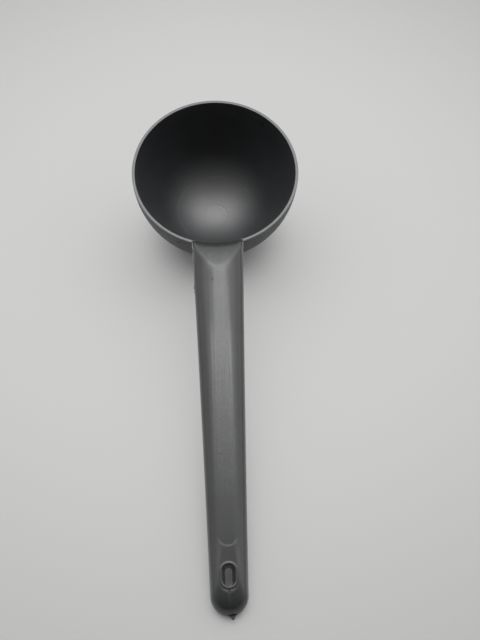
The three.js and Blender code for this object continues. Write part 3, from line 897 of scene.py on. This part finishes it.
class SatinPlastic:
    """Satin grey plastic: slow clouds in the colour, a fine grain in the gloss and the skin."""

    def __init__(self, name, dust, satin, hue, depth=1.0):
        self.hue = hue
        self.material = bpy.data.materials.new(name)
        self.material.use_nodes = True
        self.tree = tree = self.material.node_tree
        self.shader = tree.nodes["Principled BSDF"]
        self.vector = scoop_vector(tree)
        self.place = put(tree, "ShaderNodeSeparateXYZ", {0: self.vector}).outputs
        self.across = maths(tree, "ABSOLUTE", self.place["X"])
        skin = put(tree, "ShaderNodeGroup", node_tree=SKIN_GROUP)
        tree.links.new(self.vector, skin.inputs["Vector"])
        skin.inputs["Dust"].default_value = dust
        self.skin = skin.outputs
        dark, light = grey(PLASTIC_DARK * depth, hue), grey(PLASTIC_LIGHT * depth, hue)
        self.colour = mixed(tree, ramp(tree, self.skin["Clouds"], 0.3, 0.7), dark, light)
        self.rough = maths(tree, "ADD", maths(tree, "MULTIPLY", self.skin["Grain"], GRAIN_GLOSS), satin)
        self.height = maths(tree, "MULTIPLY", self.skin["Grain"], GRAIN_HEIGHT)
        self.shader.inputs["IOR"].default_value = 1.5
        self.shader.inputs["Specular IOR Level"].default_value = 0.62

    def fade(self, axis, span):
        """A mask that rises along an axis of the scoop, from the span's first value to its second."""
        return ramp(self.tree, self.place[axis], *span)

    def tint(self, mask, share, level):
        """Mixes a share of another grey in where the mask is."""
        amount = maths(self.tree, "MULTIPLY", mask, share)
        self.colour = mixed(self.tree, amount, self.colour, grey(level, self.hue))

    def roughen(self, mask, amount):
        self.rough = maths(self.tree, "ADD", self.rough, maths(self.tree, "MULTIPLY", mask, amount))

    def raise_skin(self, mask, millimetres):
        self.height = maths(self.tree, "ADD", self.height, maths(self.tree, "MULTIPLY", mask, millimetres))

    def spot(self, centre, size):
        """A soft round mark at a place on the scoop."""
        away = put(self.tree, "ShaderNodeVectorMath", {0: self.vector, 1: centre}, operation="DISTANCE")
        return ramp(self.tree, away.outputs["Value"], size, size * SPOT_CORE)

    def finish(self):
        """Joins the relief, the colour and the gloss to the shader."""
        bump = put(self.tree, "ShaderNodeBump", {"Height": self.height, "Strength": 1.0, "Distance": MM})
        self.tree.links.new(bump.outputs[0], self.shader.inputs["Normal"])
        self.tree.links.new(self.colour, self.shader.inputs["Base Color"])
        self.tree.links.new(self.rough, self.shader.inputs["Roughness"])
        return self.material


# Marks and finish of the bowl, in millimetres in the scoop's axes
CRUMBS = [(-24.4, 10.9, -49.7), (18.3, 13.2, -52.5), (4.1, 10.6, -57.3), (-1.3, 28.9, -48.0)]
CRUMB_SIZE = 0.75
# a darker patch inside the bowl, under the far right of the rim: its place and size
DARK_PATCH, DARK_PATCH_SIZE = (31.8, 37.9, -8.5), 3.4
RUBBED_DEPTH = (-37.0, -57.0)
RUBBED_ALONG = (-31.0, 13.0)
RUBBED_ACROSS = (42.0, 6.0)
RUBBED_INNER = (1.025, 1.012)
RIM_COAT_DEPTH, RIM_COAT = (-1.2, -0.6), 0.16
RIM_SHINE_DEPTH, RIM_SHINE = (-1.6, -0.8), -0.22
BLOTCH_RADIUS = (50.4, 51.0)
BLOTCH_DEPTH = (-1.0, -2.0)
BLOTCH_ALONG = (-22.0, -40.0)


def bowl_material():
    """Duller than the handle, polished by use at the bottom and bright along the rim."""
    plastic = SatinPlastic("bowl_plastic", dust=0.05, satin=0.48, hue=BOWL_HUE, depth=1.15)
    tree = plastic.tree
    level = put(tree, "ShaderNodeCombineXYZ", {"X": plastic.place["X"], "Y": plastic.place["Y"]})
    radius = length_of(tree, level.outputs[0])
    plastic.tint(plastic.skin["Specks"], share=0.5, level=DUST_GREY)
    plastic.roughen(plastic.fade("Z", RIM_SHINE_DEPTH), RIM_SHINE)
    # 1 on the inside of the wall, 0 on its outside: the bowl shrunk to a ball of radius 1
    ball = stretched(tree, plastic.vector, (1 / BOWL_RADIUS, 1 / BOWL_RADIUS, 1 / BOWL_DEPTH))
    inner = ramp(tree, length_of(tree, ball), *RUBBED_INNER)
    # the bottom of the inside is rubbed bright, less so towards the handle
    bottom = maths(tree, "MULTIPLY", plastic.fade("Z", RUBBED_DEPTH), plastic.fade("Y", RUBBED_ALONG))
    rubbed = product(tree, bottom, ramp(tree, plastic.across, *RUBBED_ACROSS), inner)
    rim = maths(tree, "MULTIPLY", plastic.fade("Z", RIM_COAT_DEPTH), RIM_COAT)
    tree.links.new(maths(tree, "ADD", rubbed, rim), plastic.shader.inputs["Coat Weight"])
    plastic.shader.inputs["Coat Roughness"].default_value = 0.60
    plastic.shader.inputs["Coat IOR"].default_value = 3.1
    # crumbs that were left in the bowl, a darker patch under the far right of the rim, and the fine ring of
    # the mould with a painted highlight along it
    for crumb in CRUMBS:
        mark = plastic.spot(crumb, CRUMB_SIZE)
        plastic.tint(mark, share=0.9, level=CRUMB_GREY)
        plastic.raise_skin(mark, millimetres=0.12)
    cloudy = ramp(tree, plastic.skin["Clouds"], 0.4, 0.5)
    darkened_patch = maths(tree, "MULTIPLY", plastic.spot(DARK_PATCH, DARK_PATCH_SIZE), cloudy)
    plastic.tint(darkened_patch, share=0.6, level=DARK_PATCH_GREY)
    # the mould's fine ring is a real ridge; its paler tint, broken by the clouds, is a painted highlight
    # along it
    off_ring = maths(tree, "ABSOLUTE", maths(tree, "SUBTRACT", radius, RING_RADIUS))
    ring = maths(tree, "MULTIPLY", ramp(tree, off_ring, 0.5, 0.1), inner)
    broken = ramp(tree, plastic.skin["Clouds"], 0.45, 0.6)
    plastic.tint(maths(tree, "MULTIPLY", ring, broken), share=0.5, level=RING_HIGHLIGHT_GREY)
    # the outside is blotchy under the rim, on the side of the handle
    blotch = noise(tree, plastic.vector, scale=0.45, detail=3.0, roughness=0.7)
    outside = maths(tree, "MULTIPLY", ramp(tree, radius, *BLOTCH_RADIUS), plastic.fade("Z", BLOTCH_DEPTH))
    patches = product(tree, outside, plastic.fade("Y", BLOTCH_ALONG), ramp(tree, blotch, 0.45, 0.62))
    plastic.tint(patches, share=0.7, level=BLOTCH_GREY)
    plastic.raise_skin(patches, millimetres=0.08)
    return plastic.finish()


# Marks and finish of the handle's top, in millimetres in the scoop's axes
RIPPLE_PATCHES = [((-1.2, -119.0, 8.3), 5.5), ((1.4, -195.0, 7.9), 6.0)]
SMUDGES = [(-3.8, -77.8, 8.2), (-2.2, -184.0, 7.9), (3.0, -192.1, 7.9)]
SMUDGE_SIZE, SMUDGE_DULL_SIZE = 1.3, 1.0
CROWN_ACROSS, CROWN_HEIGHT = (8.0, 5.0), (5.5, 6.9)
HANDLED_ALONG, LEAST_HANDLED = (-225.0, -185.0), 0.05
LINES_FROM, LINES_TO = (2.2, 3.4), (6.2, 4.8)
LINES_ALONG = (-190.0, -120.0)
DULL_START, DULL_END = (-66.0, -74.0), (-125.0, -96.0)
DULL_ACROSS = (10.0, 6.5)
DULL_LEFT, DULL_RIGHT = (-1.5, -5.5), (3.2, 5.8)


def handle_top_material():
    """Rub marks, drawn lines, ripples and pale specks on the crown, which fade towards the end."""
    plastic = SatinPlastic("handle_top_plastic", dust=0.55, satin=0.15, hue=HANDLE_HUE)
    tree = plastic.tree
    scuffs = put(tree, "ShaderNodeGroup", node_tree=SCUFF_GROUP)
    tree.links.new(plastic.vector, scuffs.inputs["Vector"])
    handled = maths(tree, "MULTIPLY", plastic.fade("Y", HANDLED_ALONG), 1 - LEAST_HANDLED)
    handled = maths(tree, "ADD", handled, LEAST_HANDLED)
    on_top = ramp(tree, plastic.across, *CROWN_ACROSS)
    crown = product(tree, on_top, plastic.fade("Z", CROWN_HEIGHT), handled)
    rubbed = maths(tree, "MULTIPLY", scuffs.outputs["Streaks"], crown)
    patches = maths(tree, "ADD", *[plastic.spot(*patch) for patch in RIPPLE_PATCHES])
    rippled = product(tree, scuffs.outputs["Ripples"], patches, crown)
    specked = maths(tree, "MULTIPLY", plastic.skin["Specks"], crown)
    mottle = noise(tree, plastic.vector, scale=0.55, detail=2.0, roughness=0.6)
    mottled = maths(tree, "MULTIPLY", ramp(tree, mottle, 0.3, 0.7), crown)
    drawn_out = stretched(tree, plastic.vector, (1.3, 0.006, 0.0))
    lines = noise(tree, drawn_out, scale=1.0, detail=2.0, roughness=0.8)
    beside = [ramp(tree, plastic.across, *span) for span in (LINES_FROM, LINES_TO)]
    drawn = product(tree, ramp(tree, lines, 0.42, 0.62), plastic.fade("Y", LINES_ALONG), *beside, crown)
    # each mark with its share of a paler grey, how much paler that is, and its relief in millimetres
    marks = [
        (rubbed, 0.35, 1.7, 0.03),
        (rippled, 0.25, 2.0, 0.003),
        (specked, 0.2, 2.6, 0.008),
        (mottled, 0.3, 1.8, 0.004),
        (drawn, 0.5, 2.2, 0.012),
    ]
    for mark, share, paler, relief in marks:
        plastic.tint(mark, share, PLASTIC_LIGHT * paler)
        plastic.raise_skin(mark, relief)
    plastic.roughen(rubbed, amount=0.06)
    # behind the ramp both sides of the crown are duller, the left one more so
    on_crown = ramp(tree, plastic.across, *DULL_ACROSS)
    behind_ramp = product(tree, plastic.fade("Y", DULL_START), plastic.fade("Y", DULL_END), on_crown)
    plastic.roughen(maths(tree, "MULTIPLY", behind_ramp, plastic.fade("X", DULL_LEFT)), amount=0.18)
    plastic.roughen(maths(tree, "MULTIPLY", behind_ramp, plastic.fade("X", DULL_RIGHT)), amount=0.14)
    plastic.roughen(behind_ramp, amount=0.03)
    for smudge in SMUDGES:
        mark = maths(tree, "MULTIPLY", plastic.spot(smudge, SMUDGE_SIZE), mottled)
        plastic.tint(mark, share=0.9, level=CRUMB_GREY)
        plastic.roughen(plastic.spot(smudge, SMUDGE_DULL_SIZE), amount=0.25)
    return plastic.finish()


def handle_underside_material():
    """Plain satin plastic with a few dark specks."""
    plastic = SatinPlastic("handle_underside_plastic", dust=0.05, satin=0.2, hue=HANDLE_HUE)
    plastic.tint(plastic.skin["Specks"], share=0.5, level=DUST_GREY)
    return plastic.finish()


def flash_material():
    """Squeezed-out plastic, duller, and painted paler to stand in for the highlights on its lumps and on the
    burr.
    """
    return SatinPlastic("flash_plastic", dust=0.05, satin=0.4, hue=HANDLE_HUE, depth=3.2).finish()


bowl_plastic = bowl_material()
upper_plastic = handle_top_material()
lower_plastic = handle_underside_material()
flash_plastic = flash_material()

# Pieces
profile_mesh = bpy.data.meshes.new("bowl_profile")
section = bowl_profile()
steps = [(i, i + 1) for i in range(len(section) - 1)]
profile_mesh.from_pydata([(r, 0.0, z) for r, z in section], steps, [])
bowl_mesh = grow("bowl", profile_mesh, turned_bowl_tree(), {"Material": bowl_plastic})
add_piece("scoop_bowl", bowl_mesh, bowl_plastic, ["bowl"])
add_piece("handle_top", upper_shell_mesh(), upper_plastic, ["handle_upper_shell"])
add_piece("handle_underside", lower_shell_mesh(), lower_plastic, ["handle_lower_shell"])


# Lumps of squeezed-out plastic on the left and right edge: (reach, half length, size)
LUMPS = {
    -1: [(54.3, 1.0, 1.6), (62.0, 1.6, 0.9), (77.6, 1.0, 2.0), (79.6, 1.1, 2.4), (82.2, 0.8, 2.0)],
    1: [(66.0, 1.5, 0.8), (70.0, 14.0, 0.5)],
}
FLASH_START, FLASH_END, FLASH_STEP = 52.5, 100.0, 0.3
FLASH_INSET, FLASH_LEAST = 0.3, 0.25
LUMP_OUT, LUMP_UP = 0.12, 0.05
BURR, BURR_RUN = (-22.9, -46.2, -5.7), (1.1, 0.45, -0.5)
BURR_LEAST, BURR_SWELL = 0.3, 2.2


def flash_path():
    """The seam along both edges of the handle and a burr under the rim, with how thick the plastic is."""
    points, edges, swell = [], [], []

    def join_from(first):
        edges.extend((i, i + 1) for i in range(first, len(points) - 1))

    for sign in (-1, 1):
        first = len(points)
        for reach in np.arange(FLASH_START, FLASH_END, FLASH_STEP):
            lump = sum(size * math.exp(-(((reach - r) / half) ** 2)) for r, half, size in LUMPS[sign])
            x = half_width(reach) - FLASH_INSET + LUMP_OUT * lump
            points.append(TO_PART @ Vector((sign * x, -reach, LUMP_UP * lump)))
            swell.append(FLASH_LEAST + lump)
        join_from(first)
    first = len(points)
    for step in np.linspace(-1, 1, 13):
        points.append(TO_PART @ Vector([place + run * step for place, run in zip(BURR, BURR_RUN)]))
        swell.append(BURR_LEAST + BURR_SWELL * (1 - step * step))
    join_from(first)
    mesh = bpy.data.meshes.new("seam_path")
    mesh.from_pydata(points, edges, [])
    mesh.attributes.new("swell", "FLOAT", "POINT").data.foreach_set("value", swell)
    return mesh


flash_mesh = grow("seam_flash", flash_path(), seam_flash_tree(), {"Material": flash_plastic})
add_piece("seam_flash", flash_mesh, flash_plastic, [])

# Stage, light and camera
# a painted pool of light on the floor: its centre, the distances over which it fades, and the paper's colours
# inside it and away from it
FLOOR_LIGHT_POOL_CENTRE = (0.0, 0.12, 0.0)
FLOOR_LIGHT_POOL_FADE = (0.12, 0.42)
FLOOR_IN_LIGHT_POOL, FLOOR_OUT_OF_LIGHT_POOL = (0.575, 0.59), 0.42
FLOOR_HALF_SIZE = 4.0
OWN_COLOUR_SHARE = 0.58
SHADOW_REACH, SHADOW_SPAN = 0.035, (0.27, 0.82)


def floor_material():
    """Pale paper with a painted pool of light, brightest round the scoop and darker further away."""
    material = bpy.data.materials.new("pale_floor")
    material.use_nodes = True
    tree = material.node_tree
    shader = tree.nodes["Principled BSDF"]
    coordinates = put(tree, "ShaderNodeTexCoord")
    cloud = noise(tree, coordinates.outputs["Object"], scale=3.0, detail=2.0)
    # the painted pool of light fades out from round the scoop
    to_pool_centre = {0: coordinates.outputs["Object"], 1: FLOOR_LIGHT_POOL_CENTRE}
    centred = put(tree, "ShaderNodeVectorMath", to_pool_centre, operation="DISTANCE")
    away = ramp(tree, centred.outputs["Value"], *FLOOR_LIGHT_POOL_FADE)
    middle = mixed(tree, cloud, *[grey(level, FLOOR_HUE) for level in FLOOR_IN_LIGHT_POOL])
    paper_with_painted_pool = mixed(tree, away, middle, grey(FLOOR_OUT_OF_LIGHT_POOL, FLOOR_HUE))
    tree.links.new(paper_with_painted_pool, shader.inputs["Base Color"])
    shader.inputs["Roughness"].default_value = 0.95
    shader.inputs["Specular IOR Level"].default_value = 0.1
    # the camera and reflections see part of the paper's own colour, which keeps the shadows soft
    rays = put(tree, "ShaderNodeLightPath").outputs
    seen = maths(tree, "MAXIMUM", rays["Is Camera Ray"], rays["Is Glossy Ray"])
    seen = maths(tree, "MAXIMUM", seen, rays["Is Transmission Ray"])
    plain = put(tree, "ShaderNodeEmission", {"Color": paper_with_painted_pool})
    open_sky = put(tree, "ShaderNodeAmbientOcclusion", {"Distance": SHADOW_REACH}, samples=8)
    open_floor = ramp(tree, open_sky.outputs["AO"], *SHADOW_SPAN)
    share = product(tree, seen, OWN_COLOUR_SHARE, open_floor)
    blend = put(tree, "ShaderNodeMixShader", {0: share, 1: shader.outputs[0], 2: plain.outputs[0]})
    tree.links.new(blend.outputs[0], tree.nodes["Material Output"].inputs["Surface"])
    return material


floor_mesh = bpy.data.meshes.new("floor")
corners = [(FLOOR_HALF_SIZE * x, FLOOR_HALF_SIZE * y, 0) for x, y in ((-1, -1), (1, -1), (1, 1), (-1, 1))]
floor_mesh.from_pydata(corners, [], [(0, 1, 2, 3)])
floor_mesh.materials.append(floor_material())
floor = bpy.data.objects.new("floor", floor_mesh)
bpy.context.scene.collection.objects.link(floor)


SOFTBOX_DISTANCE = 1.6


def add_softbox(name, azimuth, elevation, spread, rise_spread, radiance):
    """An oval softbox, seen from the middle of the floor under the given half angles in degrees."""
    half_across = SOFTBOX_DISTANCE * math.tan(math.radians(spread))
    half_up = SOFTBOX_DISTANCE * math.tan(math.radians(rise_spread))
    turn, rise = math.radians(azimuth), math.radians(elevation)
    towards = Vector((math.sin(turn) * math.cos(rise), math.cos(turn) * math.cos(rise), math.sin(rise)))
    lamp = bpy.data.lights.new(name, "AREA")
    lamp.shape = "ELLIPSE"
    lamp.size, lamp.size_y = 2 * half_across, 2 * half_up
    lamp.energy = radiance * math.pi * math.pi * half_across * half_up
    holder = bpy.data.objects.new(name, lamp)
    holder.location = towards * SOFTBOX_DISTANCE
    holder.rotation_euler = (-towards).to_track_quat("-Z", "Y").to_euler()
    bpy.context.scene.collection.objects.link(holder)


add_softbox("far_softbox", azimuth=7, elevation=76, spread=24, rise_spread=8, radiance=1.8)

# The studio round the scoop: a broad glow that rises from the far horizon to a bright patch overhead and
# fades quickly towards the camera. Pairs are (degrees from the far horizon up and over, radiance).
GLOW = [
    (0, 0.35), (15, 0.8), (30, 1.4), (45, 2.1), (60, 2.9), (70, 3.6), (78, 4.0), (82, 3.6),
    (85, 2.3), (88, 1.0), (91, 0.35), (96, 0.2), (105, 0.14), (120, 0.09), (140, 0.06), (180, 0.05),
]
GLOW_PEAK = 4.0
SIDE_LEVEL = 1.08
SIDE_TILT = 0.14
SIDE_FADE = (-1.0, 0.5)
GLOW_SHIFT = 0.03
GLOW_ACROSS = (0.95, 0.1)
BACKDROP_LEVEL = 0.62


def light_studio():
    """The glow in the middle, a plainer light at the sides, and a flat backdrop for the camera."""
    world = bpy.data.worlds.new("studio")
    bpy.context.scene.world = world
    world.use_nodes = True
    sky = world.node_tree
    background = sky.nodes["Background"]
    towards = put(sky, "ShaderNodeTexCoord").outputs["Generated"]
    direction = put(sky, "ShaderNodeSeparateXYZ", {0: towards}).outputs
    over = maths(sky, "DIVIDE", maths(sky, "ARCTAN2", direction["Z"], direction["Y"]), math.pi)
    glow = put(sky, "ShaderNodeValToRGB", {0: over})
    stops = glow.color_ramp.elements
    while len(stops) < len(GLOW):
        stops.new(0.5)
    for stop, (degrees, level) in zip(stops, GLOW):
        stop.position = degrees / 180
        stop.color = (level / GLOW_PEAK, level / GLOW_PEAK, level / GLOW_PEAK, 1.0)
    off_middle = maths(sky, "ABSOLUTE", maths(sky, "SUBTRACT", direction["X"], GLOW_SHIFT))
    middle = ramp(sky, off_middle, *GLOW_ACROSS)
    tilt = maths(sky, "ADD", maths(sky, "MULTIPLY", direction["X"], SIDE_TILT), 1.0)
    side = product(sky, ramp(sky, direction["Y"], *SIDE_FADE), SIDE_LEVEL, tilt)
    bright = maths(sky, "MULTIPLY", glow.outputs[0], GLOW_PEAK)
    off_glow = maths(sky, "SUBTRACT", 1.0, middle)
    level = maths(sky, "ADD", maths(sky, "MULTIPLY", bright, middle), maths(sky, "MULTIPLY", side, off_glow))
    by_camera = put(sky, "ShaderNodeLightPath").outputs["Is Camera Ray"]
    seen = mixed(sky, by_camera, level, grey(BACKDROP_LEVEL))
    background.inputs["Color"].default_value = (1, 1, 1, 1)
    sky.links.new(seen, background.inputs["Strength"])


light_studio()

# The camera fitted to the photograph: place in metres, lens and sensor in millimetres
CAMERA_PLACE = (-0.00532, -0.35794, 0.57049)
AZIMUTH, ELEVATION, ROLL = math.radians(2.6492), math.radians(55.3952), math.radians(0.4502)
LENS, SENSOR_WIDTH = 61.875, 36.0

camera_data = bpy.data.cameras.new("camera")
camera_data.lens = LENS
camera_data.sensor_width = SENSOR_WIDTH
camera = bpy.data.objects.new("camera", camera_data)
aim = Vector((
    math.sin(AZIMUTH) * math.cos(ELEVATION), math.cos(AZIMUTH) * math.cos(ELEVATION), -math.sin(ELEVATION),
))
camera.location = CAMERA_PLACE
camera.rotation_mode = "QUATERNION"
camera.rotation_quaternion = aim.to_track_quat("-Z", "Y") @ Quaternion((0, 0, 1), ROLL)
bpy.context.scene.collection.objects.link(camera)
bpy.context.scene.camera = camera
bpy.context.scene.view_settings.view_transform = "Standard"
